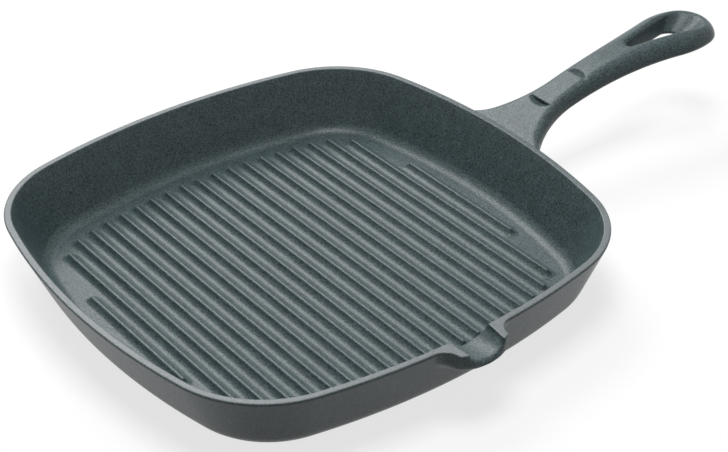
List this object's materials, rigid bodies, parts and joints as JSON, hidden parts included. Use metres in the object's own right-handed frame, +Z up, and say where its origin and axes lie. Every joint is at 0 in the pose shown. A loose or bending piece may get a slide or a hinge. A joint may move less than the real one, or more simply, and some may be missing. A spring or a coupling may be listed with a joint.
{
  "type": "grill pan",
  "caption": "Square cast-iron grill pan with bowed sides, a ribbed floor, a pouring lip in one rim and an arched handle with a dished hanging hole.",
  "frame": {"origin": "centre of the pan's flat underside, on the surface that it stands on", "axes": "+X from the pan's centre along the handle, +Z up, the pouring lip on the -Y side"},
  "size_m": [0.4052, 0.2707, 0.0582],
  "materials": {
    "cast_iron": "sand-cast, seasoned, fine matt grain with a low sheen"
  },
  "bodies": {
    "root": {"pan_body": "cast_iron", "grill_ribs": "cast_iron", "pouring_lip": "cast_iron", "handle": "cast_iron"}
  },
  "joints": []
}
